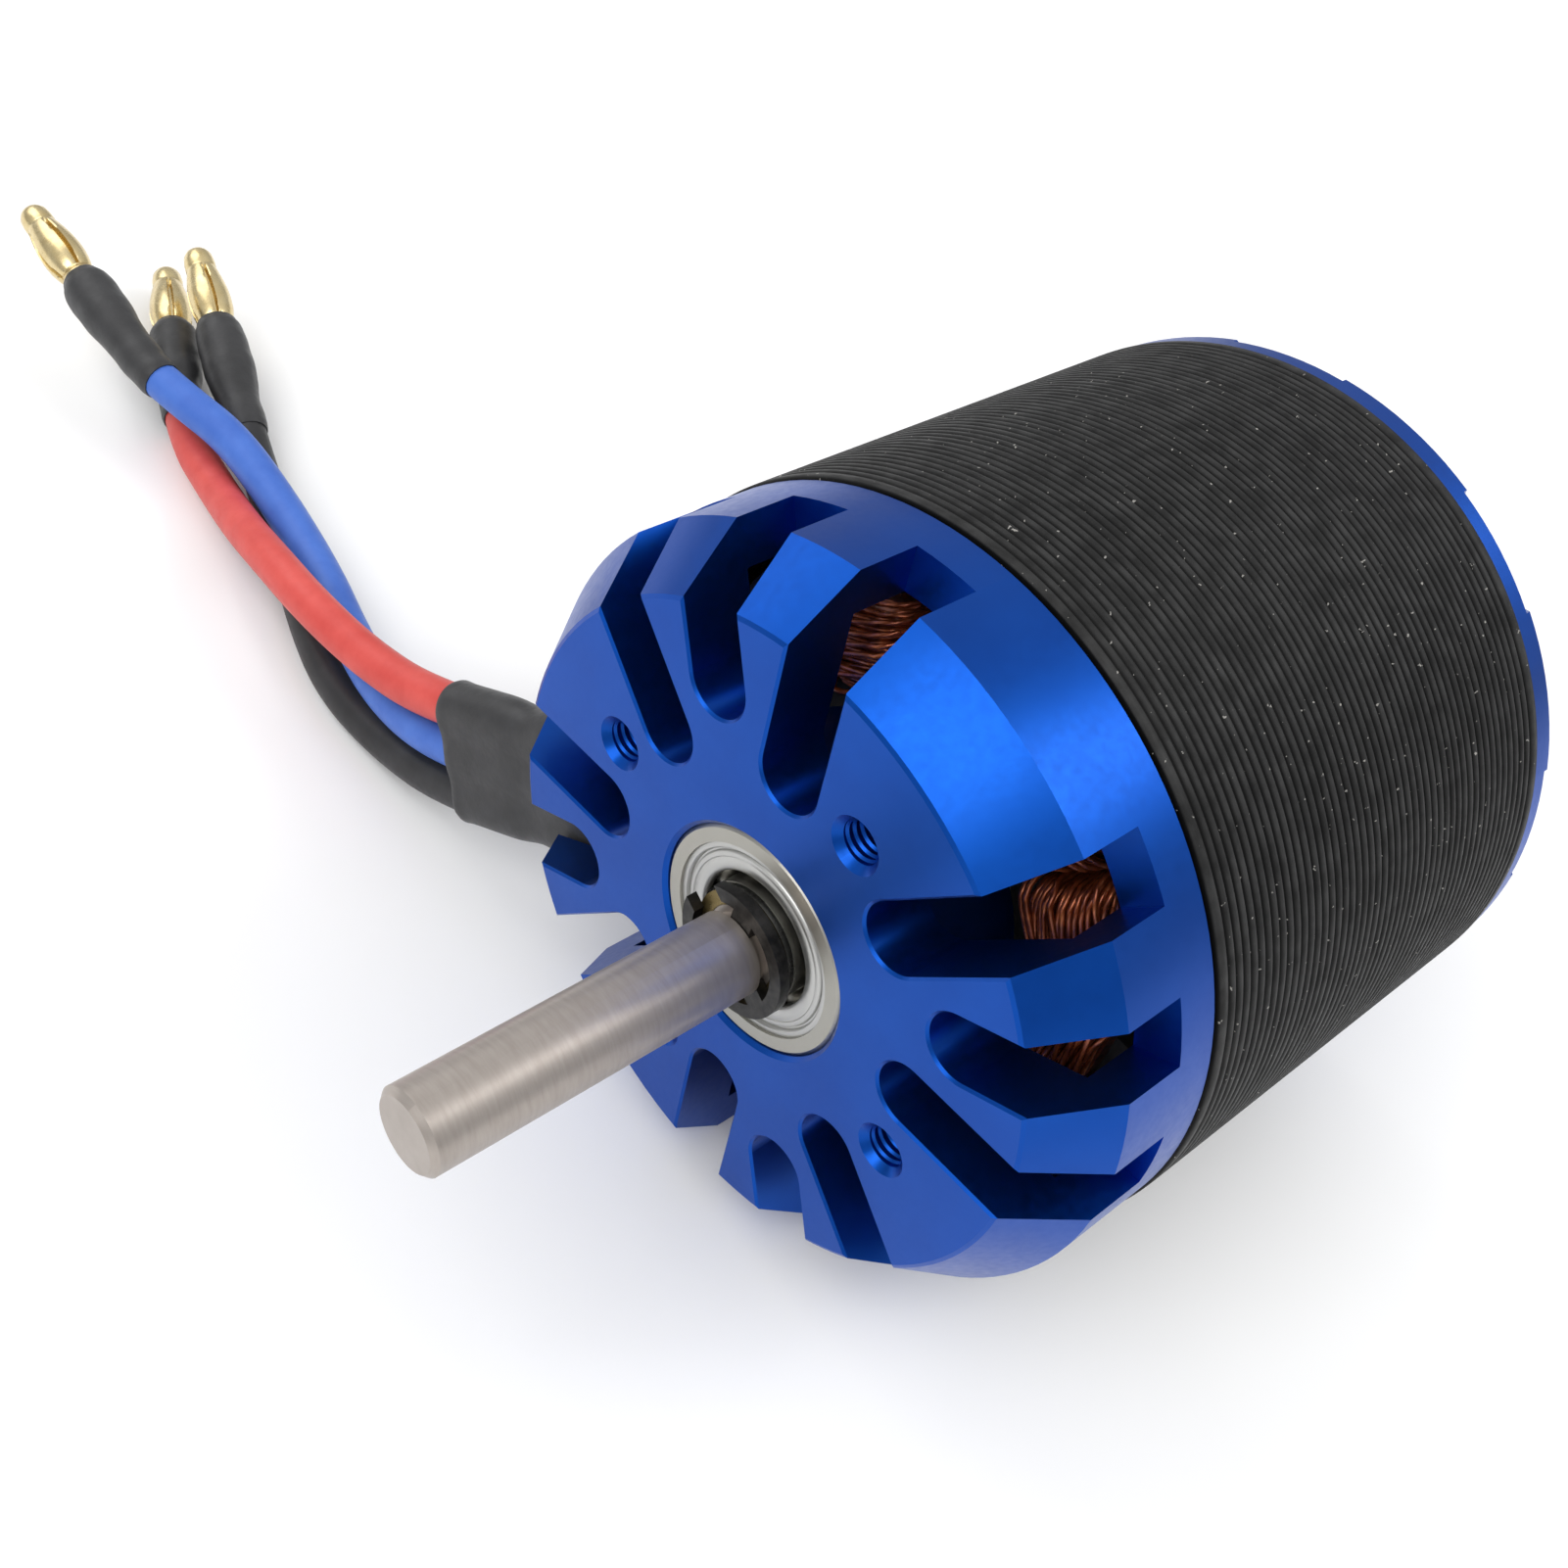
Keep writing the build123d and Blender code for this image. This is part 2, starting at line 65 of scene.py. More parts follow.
# ---- camera ----------------------------------------------------------------------------------
# The shaft points along +X. The camera stands in front of the shaft's end, above and to one side.
camera = bpy.data.objects.new("camera", bpy.data.cameras.new("camera"))
bpy.context.collection.objects.link(camera)
right = Vector((-0.732242, 0.639972, 0.232931))
up = Vector((-0.368836, -0.660168, 0.654323))
back = right.cross(up)
camera.matrix_world = Matrix.Translation(Vector((53.316, 35.390, 78.998)) * MM) @ (
    Matrix((right, up, back)).transposed().to_4x4()
)
camera.data.lens = 42.65
camera.data.sensor_width = 36.0
camera.data.clip_start = 0.002
bpy.context.scene.camera = camera


# ---- meshes ----------------------------------------------------------------------------------
def add_mesh(name, verts, faces, body, slot, smooth=35):
    """A new piece from points in millimetres, riding on a body and finished like a slot."""
    mesh = bpy.data.meshes.new(name)
    mesh.from_pydata([Vector(v) * MM for v in verts], [], faces)
    mesh.validate()
    mesh.update()
    mesh.shade_smooth()
    mesh.set_sharp_from_angle(angle=math.radians(smooth))
    obj = bpy.data.objects.new(name, mesh)
    bpy.context.collection.objects.link(obj)
    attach(obj, body)
    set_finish(obj, slot)
    return obj


def lathe(profile, segments, closed=False):
    """Points and faces of a profile of (x, r) pairs turned about the shaft axis."""
    verts, faces = [], []
    rows = len(profile)
    for i in range(segments):
        a = 2 * math.pi * i / segments
        for x, r in profile:
            verts.append((x, r * math.cos(a), r * math.sin(a)))
    for i in range(segments):
        here, there = i * rows, (i + 1) % segments * rows
        for j in range(rows if closed else rows - 1):
            k = (j + 1) % rows
            faces.append((here + j, there + j, there + k, here + k))
    return verts, faces


def frames_along(points):
    """A right-handed frame at each point of a line, turned as little as possible."""
    points = [Vector(p) for p in points]
    tangents = []
    for i in range(len(points)):
        tangents.append((points[min(i + 1, len(points) - 1)] - points[max(i - 1, 0)]).normalized())
    side = tangents[0].orthogonal().normalized()
    out = []
    for p, t in zip(points, tangents):
        side = (side - t * side.dot(t)).normalized()
        out.append((p, side, t.cross(side)))
    return out


def tube(points, radius, sides=8, caps=True, shape=None, closed=False):
    """Points and faces of a tube along a line. shape(i, angle) gives the radius if it varies."""
    verts, faces = [], []
    rings = frames_along(points)
    for i, (p, side, other) in enumerate(rings):
        for k in range(sides):
            a = 2 * math.pi * k / sides
            r = shape(i, a) if shape else radius
            verts.append(p + side * (r * math.cos(a)) + other * (r * math.sin(a)))
    count = len(rings)
    for i in range(count if closed else count - 1):
        here, there = i * sides, (i + 1) % count * sides
        for k in range(sides):
            n = (k + 1) % sides
            faces.append((here + k, here + n, there + n, there + k))
    if caps and not closed:
        faces.append(tuple(range(sides))[::-1])
        faces.append(tuple(range((count - 1) * sides, count * sides)))
    return verts, faces


def join(parts):
    """Several lists of points and faces as one."""
    verts, faces = [], []
    for v, f in parts:
        start = len(verts)
        verts.extend(v)
        faces.extend(tuple(i + start for i in face) for face in f)
    return verts, faces


def around(angle, radius=1.0, x=0.0):
    """A point at an angle in degrees and a radius about the shaft axis."""
    return Vector((x, radius * math.cos(math.radians(angle)), radius * math.sin(math.radians(angle))))


# ---- leads -------------------------------------------------------------------------------------
LEAD_D = 3.0
ROUTES = {
    "red": [
        (-4.083, -27.73, -10.434), (-3.195, -33.346, -13.371), (-2.5, -39.8, -14.8),
        (-2.1, -46.2, -15.1), (-2.8, -52.3, -16.3), (-3.9, -58.2, -18.2), (-5.7, -64.8, -20.5),
        (-7.0, -72.3, -20.98), (-9.8, -78.2, -20.98),
    ],
    "blue": [
        (-4.083, -26.201, -13.359), (-3.195, -31.818, -16.295), (-3.6, -38.5, -18.15),
        (-4.7, -44.6, -18.25), (-6.3, -50.6, -18.25), (-7.7, -58.9, -18.25), (-7.9, -66.4, -17.3),
        (-6.6, -71.7, -16.9), (-5.9, -76.1, -16.7), (-6.0, -80.5, -16.3),
    ],
    "black": [
        (-4.083, -24.672, -16.283), (-3.195, -30.289, -19.22), (-3.1, -37.2, -21.45),
        (-2.9, -43.6, -21.45), (-4.6, -50.0, -21.45), (-7.4, -57.2, -21.45), (-9.7, -65.4, -20.9),
        (-12.4, -73.8, -19.3),
    ],
}
SHRINK_BACK = {"red": 4.6, "blue": 6.3, "black": 4.6}
SHRINK_FRONT = {"red": 7.2, "blue": 6.4, "black": 7.2}
SHRINK_RINGS, SHRINK_SIDES = 46, 28
SLEEVE_SIDES = 72
COIL_COUNT = 12


def lead_curve(colour):
    """A lead as a smooth curve through its route's control points."""
    curve = bpy.data.curves.new(f"lead_{colour}_silicone", "CURVE")
    curve.dimensions = "3D"
    curve.resolution_u = 12
    spline = curve.splines.new("NURBS")
    spline.points.add(len(ROUTES[colour]) - 1)
    for point, p in zip(spline.points, ROUTES[colour]):
        point.co = (*(Vector(p) * MM), 1.0)
        point.radius = LEAD_D / 2 * MM  # a curve's box grows by its points' radius
    spline.use_endpoint_u = True
    spline.order_u = 3
    obj = bpy.data.objects.new(curve.name, curve)
    bpy.context.collection.objects.link(obj)
    return obj


def centre_line(obj):
    """The points, in millimetres, that a curve without a bevel runs through."""
    bpy.context.view_layer.update()
    mesh = bpy.data.meshes.new_from_object(obj)
    points = [v.co / MM for v in mesh.vertices]
    bpy.data.meshes.remove(mesh)
    return points


def last_part(points, length):
    """The end of a line, of a given length."""
    out = [points[-1]]
    for p in reversed(points[:-1]):
        step = (p - out[-1]).length
        if step >= length:
            out.append(out[-1].lerp(p, length / step))
            break
        out.append(p)
        length -= step
    return out[::-1]


def resampled(points, count):
    """The same line as evenly spaced points."""
    lengths = [0.0]
    for a, b in zip(points, points[1:]):
        lengths.append(lengths[-1] + (b - a).length)
    out, j = [], 0
    for i in range(count):
        s = lengths[-1] * i / (count - 1)
        while j < len(points) - 2 and lengths[j + 1] < s:
            j += 1
        span = lengths[j + 1] - lengths[j]
        out.append(points[j].lerp(points[j + 1], (s - lengths[j]) / span if span else 0))
    return out


def heat_shrink(colour, line, direction):
    """Shrunk tubing over the lead's end and the plug's barrel, a little uneven along its length."""
    rng = random.Random(f"shrink {colour}")
    end = line[-1]
    back_part = last_part(line, SHRINK_BACK[colour])
    path = resampled(back_part[:-1] + [end, end + direction * SHRINK_FRONT[colour]], SHRINK_RINGS)
    total = SHRINK_BACK[colour] + SHRINK_FRONT[colour]
    phase = rng.random() * 6

    def outer(i, a):
        s = total * i / (SHRINK_RINGS - 1)
        along = s - SHRINK_BACK[colour]
        step = 1 / (1 + math.exp(-(along + 0.1) * 3.0))
        swell = math.sin(math.pi * max(0.0, along) / SHRINK_FRONT[colour])
        r = 1.7 + 0.24 * step + 0.12 * step * swell
        r += 0.025 * math.sin(s * 2.4 + phase) + 0.03 * math.sin(2 * a + s * 0.9 + phase)
        r -= 0.12 * math.exp(-((s / 0.3) ** 2)) + 0.32 * math.exp(-(((total - s) / 0.55) ** 2))
        return r

    outside = tube(path, 1, SHRINK_SIDES, caps=False, shape=outer)
    inside = tube(path, 1.52, SHRINK_SIDES, caps=False)
    verts, faces = join([outside, inside])
    last = (SHRINK_RINGS - 1) * SHRINK_SIDES
    shift = len(outside[0])
    for k in range(SHRINK_SIDES):
        m = (k + 1) % SHRINK_SIDES
        faces.append((k, shift + k, shift + m, m))
        faces.append((last + m, shift + last + m, shift + last + k, last + k))
    return verts, faces


def bullet_plug(end, direction):
    """A gold bullet plug: a barrel, a sprung sleeve of bulging leaves and a nose."""
    side = direction.cross(Vector((0, 0, 1))).normalized()
    other = side.cross(direction)
    rows, columns = [], 96
    profile = [(0, 1.45), (6.6, 1.45), (6.85, 1.38), (7.0, 1.26), (7.2, 1.26)]
    for i in range(25):
        s = i / 24
        profile.append((7.2 + 5.9 * s, 1.27 + 0.46 * math.sin(math.pi * s**0.8) ** 0.9))
    profile += [(13.2, 1.24), (13.35, 1.27), (14.1, 1.27), (14.7, 1.2), (15.1, 1.0), (15.32, 0.7)]
    profile += [(15.4, 0.3), (15.4, 0.001)]
    for x, r in profile:
        row = []
        for k in range(columns):
            a = 2 * math.pi * k / columns
            slot = abs((a * 4 / (2 * math.pi) + 0.5) % 1 - 0.5) * 2 * math.pi / 4 * r
            depth = 0.5 if 7.4 < x < 12.8 else (0.2 if 7.2 < x < 13.0 else 0)
            rr = r - depth if slot < 0.13 else (r - depth * 0.15 if slot < 0.21 else r)
            row.append(end + direction * x + side * (rr * math.cos(a)) + other * (rr * math.sin(a)))
        rows.append(row)
    verts = [v for row in rows for v in row]
    faces = []
    for i in range(len(rows) - 1):
        for k in range(columns):
            m = (k + 1) % columns
            faces.append((i * columns + k, i * columns + m, (i + 1) * columns + m, (i + 1) * columns + k))
    return verts, faces


for colour, route in ROUTES.items():
    lead = lead_curve(colour)
    line = centre_line(lead)
    lead.data.bevel_depth = 1.0  # times the points' radius
    lead.data.bevel_resolution = 6
    lead.data.use_fill_caps = True
    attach(lead, STATOR)
    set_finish(lead, f"silicone_{colour}")
    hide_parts(f"lead_{colour}")
    direction = (Vector(route[-1]) - Vector(route[-2])).normalized()
    shrink = add_mesh(
        f"heat_shrink_{colour}_tubing", *heat_shrink(colour, line, direction), STATOR, "heat_shrink", 50
    )
    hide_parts(f"heat_shrink_{colour}")
    plug = add_mesh(
        f"bullet_{colour}_sprung", *bullet_plug(line[-1], direction), STATOR, "gold_plate", 40
    )
    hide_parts(f"bullet_plug_{colour}")

# ---- the flat sleeve that gathers the leads ------------------------------------------------------
EXIT_ANGLE = 207.6
sleeve_dir = Vector((0.14, around(EXIT_ANGLE).y, around(EXIT_ANGLE).z)).normalized()
across = Vector((0, -math.sin(math.radians(EXIT_ANGLE)), math.cos(math.radians(EXIT_ANGLE))))
sleeve_datum = around(EXIT_ANGLE, 20.0, -5.4) - across * 0.3
thick = sleeve_dir.cross(across)


def sleeve_ring(along, half, flat, pinch):
    """One ring round the three leads: two round ends, and sides that dip between the leads."""
    centre = sleeve_datum + sleeve_dir * along
    ring = []
    for k in range(SLEEVE_SIDES):
        a = 2 * math.pi * k / SLEEVE_SIDES
        c, s = math.cos(a), math.sin(a)
        u = math.copysign(abs(c) ** 0.75, c) * (half + flat)
        edge = max(0.0, abs(u) - half)
        v = math.copysign(math.sqrt(max(0.0, flat * flat - edge * edge)), s) if abs(u) > half else (
            math.copysign(flat, s)
        )
        dip = pinch * (0.5 - 0.5 * math.cos(2 * math.pi * u / 3.3)) if abs(u) < half else 0
        ring.append(centre + across * u + thick * (v - math.copysign(dip, s)))
    return ring


rings = []
for i in range(41):
    s = -1.0 + 14.0 * i / 40
    neck = math.exp(-(((s - 5.2) / 1.6) ** 2))
    flare = 0.1 * math.exp(-(((13.0 - s) / 0.7) ** 2))
    lip = -0.16 * math.exp(-(((13.0 - s) / 0.18) ** 2))
    rings.append(sleeve_ring(s, 3.3 - 0.15 * neck, 1.86 - 0.14 * neck + flare + lip, 0.16))
for s in (13.0, 11.8, 10.4):
    rings.append(sleeve_ring(s, 3.3, 1.52, 0.05))
sleeve_verts = [v for ring in rings for v in ring]
sleeve_faces = []
for i in range(len(rings) - 1):
    here, there = i * SLEEVE_SIDES, (i + 1) * SLEEVE_SIDES
    for k in range(SLEEVE_SIDES):
        m = (k + 1) % SLEEVE_SIDES
        sleeve_faces.append((here + k, here + m, there + m, there + k))
sleeve_faces.append(tuple(range(SLEEVE_SIDES))[::-1])
sleeve_faces.append(tuple(range((len(rings) - 1) * SLEEVE_SIDES, len(rings) * SLEEVE_SIDES)))
sleeve = add_mesh("exit_sleeve_tubing", sleeve_verts, sleeve_faces, STATOR, "heat_shrink", 50)
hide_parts("exit_sleeve")

# ---- windings --------------------------------------------------------------------------------------
WIRE_R = 0.17


def turn_of_wire(angle, radius, inset, rng, lean):
    """The line that one turn of wire follows round a tooth."""
    half_w = radius * math.tan(math.pi / 12) - 0.18 - inset
    bulge = 1.0 * ((radius - 13.9) / 2.6) ** 2
    front, rear = -9.35 - inset * 1.3 - bulge, -40.65 + inset * 1.3 + bulge
    corner = min(1.7, half_w * 0.75)
    outline = []
    for cx, cu, start in (
        (front - corner, half_w - corner, 0), (rear + corner, half_w - corner, 90),
        (rear + corner, corner - half_w, 180), (front - corner, corner - half_w, 270),
    ):
        for k in range(5):
            a = math.radians(start + 22.5 * k)
            outline.append((cx + corner * math.cos(a), cu + corner * math.sin(a)))
    out = []
    u_dir = Vector((0, -math.sin(math.radians(angle)), math.cos(math.radians(angle))))
    for k, (x, u) in enumerate(outline):
        tilt = lean * u / half_w
        ends = max(0.0, (abs(x + 25) - 12.5) / 3.3)
        sag = ends * (0.9 if radius < 13.5 else -0.15) * max(0.0, (16.6 - radius) / 5)
        shake = rng.uniform(-0.07, 0.07)
        out.append(around(angle, radius + tilt + shake - sag, x + rng.uniform(-0.07, 0.07)) + u_dir * u)
    return out


def coil(number):
    """One coil: layers of turns round a tooth, the outer one loosely crossing those below."""
    rng = random.Random(f"coil {number}")
    angle = number * 30
    parts = []
    layers = ((0.62, -0.12, 0.36), (0.3, 0.2, 0.37), (0.02, -0.45, 0.62))
    for layer, (inset, lean, pitch) in enumerate(layers):
        radius = 11.55 + 0.1 * layer
        while radius < 16.45:
            if layer < 2 or rng.random() < 0.8:
                path = turn_of_wire(angle, radius, inset + rng.uniform(0, 0.08), rng, lean)
                parts.append(tube(path, WIRE_R, 6, closed=True))
            radius += pitch * rng.uniform(0.92, 1.1)
    return join(parts)


for number in range(COIL_COUNT):
    name = f"coil_{number + 1:02d}"
    winding = add_mesh(f"{name}_strands", *coil(number), STATOR, "enamelled_copper", 80)
    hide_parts(name)

# a shadowed core fills each coil behind its strands
for number in range(COIL_COUNT):
    angle = number * 30
    u_dir = Vector((0, -math.sin(math.radians(angle)), math.cos(math.radians(angle))))
    verts, faces = [], []
    steps = 5
    for j in range(steps):
        radius = 11.5 + 4.9 * j / (steps - 1)
        half_w = radius * math.tan(math.pi / 12) - 0.95
        bulge = 1.0 * ((radius - 13.9) / 2.6) ** 2
        for x, u in (
            (-10.6 - bulge, half_w - 0.8), (-11.4 - bulge, half_w), (-38.6 + bulge, half_w),
            (-39.4 + bulge, half_w - 0.8), (-39.4 + bulge, 0.8 - half_w), (-38.6 + bulge, -half_w),
            (-11.4 - bulge, -half_w), (-10.6 - bulge, 0.8 - half_w),
        ):
            verts.append(around(angle, radius, x) + u_dir * u)
    for j in range(steps - 1):
        for k in range(8):
            m = (k + 1) % 8
            faces.append((j * 8 + k, j * 8 + m, (j + 1) * 8 + m, (j + 1) * 8 + k))
    faces.append(tuple(range(8))[::-1])
    faces.append(tuple(range((steps - 1) * 8, steps * 8)))
    add_mesh(f"coil_{number + 1:02d}_core", verts, faces, STATOR, "enamelled_copper", 30)

# ---- the can's turned ribs ---------------------------------------------------------------------------
RIB_PITCH, RIB_COUNT = 0.629, 48
FIRST_RIB = (-11.05 - 42.25) / 2 + RIB_PITCH * (RIB_COUNT - 1) / 2
profile = [(-11.05, 21.2), (-11.05, 22.88), (-11.13, 22.99)]
for i in range(RIB_COUNT):
    x = FIRST_RIB - i * RIB_PITCH
    profile += [(x + 0.19, 23.0), (x + 0.14, 22.96), (x + 0.05, 22.84), (x - 0.05, 22.84)]
    profile += [(x - 0.14, 22.96), (x - 0.19, 23.0)]
profile += [(-42.17, 22.99), (-42.25, 22.88), (-42.25, 21.2)]
can = add_mesh("flux_ring_ribbed", *lathe(profile, 288, closed=True), ROTOR, "black_ribbed_steel", 60)
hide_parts("flux_ring")

# ---- bearing shields -----------------------------------------------------------------------------------
shield_profile = [
    (-0.3, 5.9), (-0.26, 5.8), (-0.26, 5.56), (-0.34, 5.48), (-0.5, 5.44), (-0.5, 5.34), (-0.36, 5.28),
    (-0.3, 5.18), (-0.3, 5.0), (-0.36, 4.94), (-0.36, 4.88), (-0.31, 4.82), (-0.31, 4.3), (-0.36, 4.18),
    (-0.5, 4.1), (-0.8, 4.08), (-0.86, 4.12), (-0.6, 4.4), (-0.6, 5.3), (-0.75, 5.9),
]
for name, front, rear in (("front_bearing", -0.2, -5.2), ("rear_bearing", -34.6, -39.6)):
    faces_both = []
    for x0, sign in ((front, 1), (rear, -1)):
        turned = [(x0 + sign * (x + 0.12), r) for x, r in shield_profile]
        faces_both.append(lathe(turned, 128, closed=True))
    shields = add_mesh(f"{name}_pressed_shields", *join(faces_both), STATOR, "bearing_shield", 40)
    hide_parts(f"{name}_shields")

# ---- threads in the mounting holes ------------------------------------------------------------------------
parts = []
for i in range(4):
    hole = around(72.6 + 90 * i, 13.2)
    rows = []
    turns, steps = 8, 40
    for k in range(turns * steps + 1):
        a = 2 * math.pi * k / steps
        x = -0.45 - 0.5 * k / steps
        rim = Vector((0, math.cos(a), math.sin(a)))
        for dx, r in ((0.16, 1.27), (0.0, 1.12), (-0.16, 1.27)):
            rows.append(hole + rim * r + Vector((x + dx, 0, 0)))
    faces = []
    for k in range(turns * steps):
        for j in range(2):
            faces.append((k * 3 + j, k * 3 + j + 1, k * 3 + j + 4, k * 3 + j + 3))
    parts.append((rows, faces))
add_mesh("hole_threads", *join(parts), STATOR, "anodised_blue", 30)


# ---- materials -------------------------------------------------------------------------------------------
class Look:
    """A procedural material. Sizes are in millimetres, and colours are linear."""

    def __init__(self, name, color, metallic=0.0, roughness=0.5, **sockets):
        self.material = bpy.data.materials.new(name)
        self.material.use_nodes = True
        self.tree = self.material.node_tree
        self.shader = self.tree.nodes["Principled BSDF"]
        self.set("Base Color", (*color, 1.0))
        self.set("Metallic", metallic)
        self.set("Roughness", roughness)
        for socket, value in sockets.items():
            self.set(socket.replace("_", " "), value)
        self.coords = self.tree.nodes.new("ShaderNodeTexCoord").outputs["Object"]
        self.normal = None

    def set(self, socket, value):
        self.shader.inputs[socket].default_value = value

    def node(self, kind, *inputs, **settings):
        node = self.tree.nodes.new(kind)
        for key, value in settings.items():
            setattr(node, key, value)
        for i, value in enumerate(inputs):
            if value is None:
                continue
            if isinstance(value, bpy.types.NodeSocket):
                self.tree.links.new(value, node.inputs[i])
            else:
                node.inputs[i].default_value = value
        return node

    def noise(self, size, detail=3.0, stretch=(1, 1, 1)):
        """Noise whose features are about size across, stretched along each axis."""
        mapping = self.node("ShaderNodeMapping", self.coords)
        mapping.inputs["Scale"].default_value = [1 / (size * MM * s) for s in stretch]
        noise = self.node("ShaderNodeTexNoise", mapping.outputs[0])
        noise.inputs["Scale"].default_value = 1.0
        noise.inputs["Detail"].default_value = detail
        noise.inputs["Roughness"].default_value = 0.55
        return noise.outputs["Fac"]

    def ramp(self, value, *stops):
        """Maps a value to colours, given as (position, colour or grey level) pairs."""
        ramp = self.node("ShaderNodeValToRGB", value)
        elements = ramp.color_ramp.elements
        while len(elements) < len(stops):
            elements.new(0.5)
        for element, (position, level) in zip(elements, stops):
            element.position = position
            element.color = (*level, 1.0) if isinstance(level, tuple) else (level, level, level, 1.0)
        return ramp.outputs["Color"]

    def mix(self, factor, a, b):
        """One colour into another by a factor."""
        mix = self.node("ShaderNodeMix", data_type="RGBA")
        for socket, value in ((0, factor), (6, a), (7, b)):
            if isinstance(value, bpy.types.NodeSocket):
                self.tree.links.new(value, mix.inputs[socket])
            else:
                mix.inputs[socket].default_value = (*value, 1.0) if isinstance(value, tuple) else value
        return mix.outputs[2]

    def color(self, socket):
        self.tree.links.new(socket, self.shader.inputs["Base Color"])

    def rough(self, value, low, high):
        """Roughness from low to high as a value goes from 0 to 1."""
        spread = self.node("ShaderNodeMapRange", value, 0.25, 0.75, low, high)
        self.tree.links.new(spread.outputs[0], self.shader.inputs["Roughness"])

    def bump(self, height, depth, strength=1.0):
        """Relief of a depth in millimetres."""
        bump = self.node("ShaderNodeBump")
        bump.inputs["Strength"].default_value = strength
        bump.inputs["Distance"].default_value = depth * MM
        self.tree.links.new(height, bump.inputs["Height"])
        if self.normal:
            self.tree.links.new(self.normal, bump.inputs["Normal"])
        self.normal = bump.outputs[0]
        self.tree.links.new(self.normal, self.shader.inputs["Normal"])

    def radius(self):
        """Distance from the shaft axis, in metres."""
        flat = self.node("ShaderNodeVectorMath", self.coords, (0.0, 1.0, 1.0), operation="MULTIPLY")
        length = self.node("ShaderNodeVectorMath", flat.outputs[0], operation="LENGTH")
        return length.outputs["Value"]

    def along(self):
        """Position along the shaft axis, in metres."""
        return self.node("ShaderNodeSeparateXYZ", self.coords).outputs["X"]

    def line_noise(self, value, size, detail=4.0):
        """Noise that changes with one value only, such as turning marks."""
        scaled = self.node("ShaderNodeMath", value, 1 / (size * MM), operation="MULTIPLY")
        noise = self.node("ShaderNodeTexNoise", noise_dimensions="1D")
        self.tree.links.new(scaled.outputs[0], noise.inputs["W"])
        noise.inputs["Scale"].default_value = 1.0
        noise.inputs["Detail"].default_value = detail
        return noise.outputs["Fac"]


LOOKS = {}

look = Look("anodised_blue", (0.002, 0.066, 0.4), 0.97, 0.34, Coat_Weight=0.1, Coat_Roughness=0.25)
cloud = look.noise(6.0, 3)
look.color(look.ramp(cloud, (0.3, (0.001, 0.058, 0.35)), (0.7, (0.002, 0.07, 0.4))))
look.rough(look.noise(0.5, 5), 0.3, 0.4)
look.bump(look.noise(0.07, 2), 0.002, 0.5)
LOOKS["anodised_blue"] = look

look = Look("stator_steel", (0.12, 0.12, 0.125), 0.8, 0.45)
look.bump(look.line_noise(look.along(), 0.35, 1), 0.03)
look.color(look.ramp(look.noise(2.0), (0.3, 0.05), (0.7, 0.1)))
LOOKS["stator_steel"] = look

look = Look("tube_aluminium", (0.6, 0.6, 0.61), 1.0, 0.35)
look.bump(look.line_noise(look.along(), 0.12), 0.004)
LOOKS["tube_aluminium"] = look

look = Look("insulation", (0.03, 0.03, 0.032), 0.0, 0.6)
look.color(look.ramp(look.noise(1.2, 5), (0.3, 0.02), (0.7, 0.045)))
look.bump(look.noise(0.3, 5), 0.02)
LOOKS["insulation"] = look

look = Look("enamelled_copper", (0.4, 0.13, 0.05), 0.75, 0.3, Coat_Weight=0.6, Coat_Roughness=0.15)
look.color(look.ramp(
    look.noise(0.9, 4), (0.25, (0.1, 0.018, 0.006)), (0.55, (0.42, 0.1, 0.03)), (0.8, (0.78, 0.25, 0.085)),
))
look.rough(look.noise(0.4, 3), 0.25, 0.42)
LOOKS["enamelled_copper"] = look

look = Look("tail_tubing", (0.03, 0.03, 0.03), 0.0, 0.6)
look.bump(look.noise(0.25, 3), 0.03)
LOOKS["tail_tubing"] = look

look = Look("bearing_steel", (0.4, 0.39, 0.35), 1.0, 0.2)
look.rough(look.noise(0.8, 4), 0.3, 0.42)
look.bump(look.line_noise(look.radius(), 0.05), 0.001)
LOOKS["bearing_steel"] = look

look = Look("bearing_shield", (0.5, 0.5, 0.485), 1.0, 0.4)
look.rough(look.noise(1.0, 5), 0.36, 0.46)
look.bump(look.line_noise(look.radius(), 0.08), 0.002)
LOOKS["bearing_shield"] = look

look = Look("ground_steel", (0.4, 0.36, 0.33), 0.82, 0.38)
smear = look.noise(1.8, 5, (0.15, 1, 1))
look.color(look.mix(look.ramp(smear, (0.35, 0.0), (0.7, 1.0)), (0.43, 0.385, 0.35), (0.38, 0.335, 0.3)))
look.rough(look.noise(0.8, 3, (0.12, 1, 1)), 0.36, 0.42)
look.bump(look.line_noise(look.along(), 0.15, 2), 0.0008)
LOOKS["ground_steel"] = look

look = Look("black_ribbed_steel", (0.012, 0.012, 0.013), 0.0, 0.5, Specular_IOR_Level=0.14)
# Painted highlight and painted shade: the rib crests are lighter, in uneven patches that also carry wear tone,
# and the groove bottoms are painted near black as painted shade in the recesses.
crest_highlight_mask = look.node("ShaderNodeMapRange", look.radius(), 22.88 * MM, 22.99 * MM, 0.0, 1.0).outputs[0]
crest_wear_and_highlight = look.ramp(look.noise(1.6, 5), (0.35, 0.014), (0.75, 0.04))
ribbed_tone_with_groove_shade = look.mix(crest_highlight_mask, (0.0015, 0.0015, 0.0015), crest_wear_and_highlight)
dust = look.ramp(look.noise(0.36, 2, (1.5, 1, 1)), (0.715, 0.0), (0.74, 1.0))
look.color(look.mix(dust, ribbed_tone_with_groove_shade, (0.3, 0.29, 0.27)))
look.rough(look.noise(0.3, 5, (1, 3, 3)), 0.42, 0.6)
look.bump(look.noise(0.16, 4, (0.7, 2, 2)), 0.01)
LOOKS["black_ribbed_steel"] = look

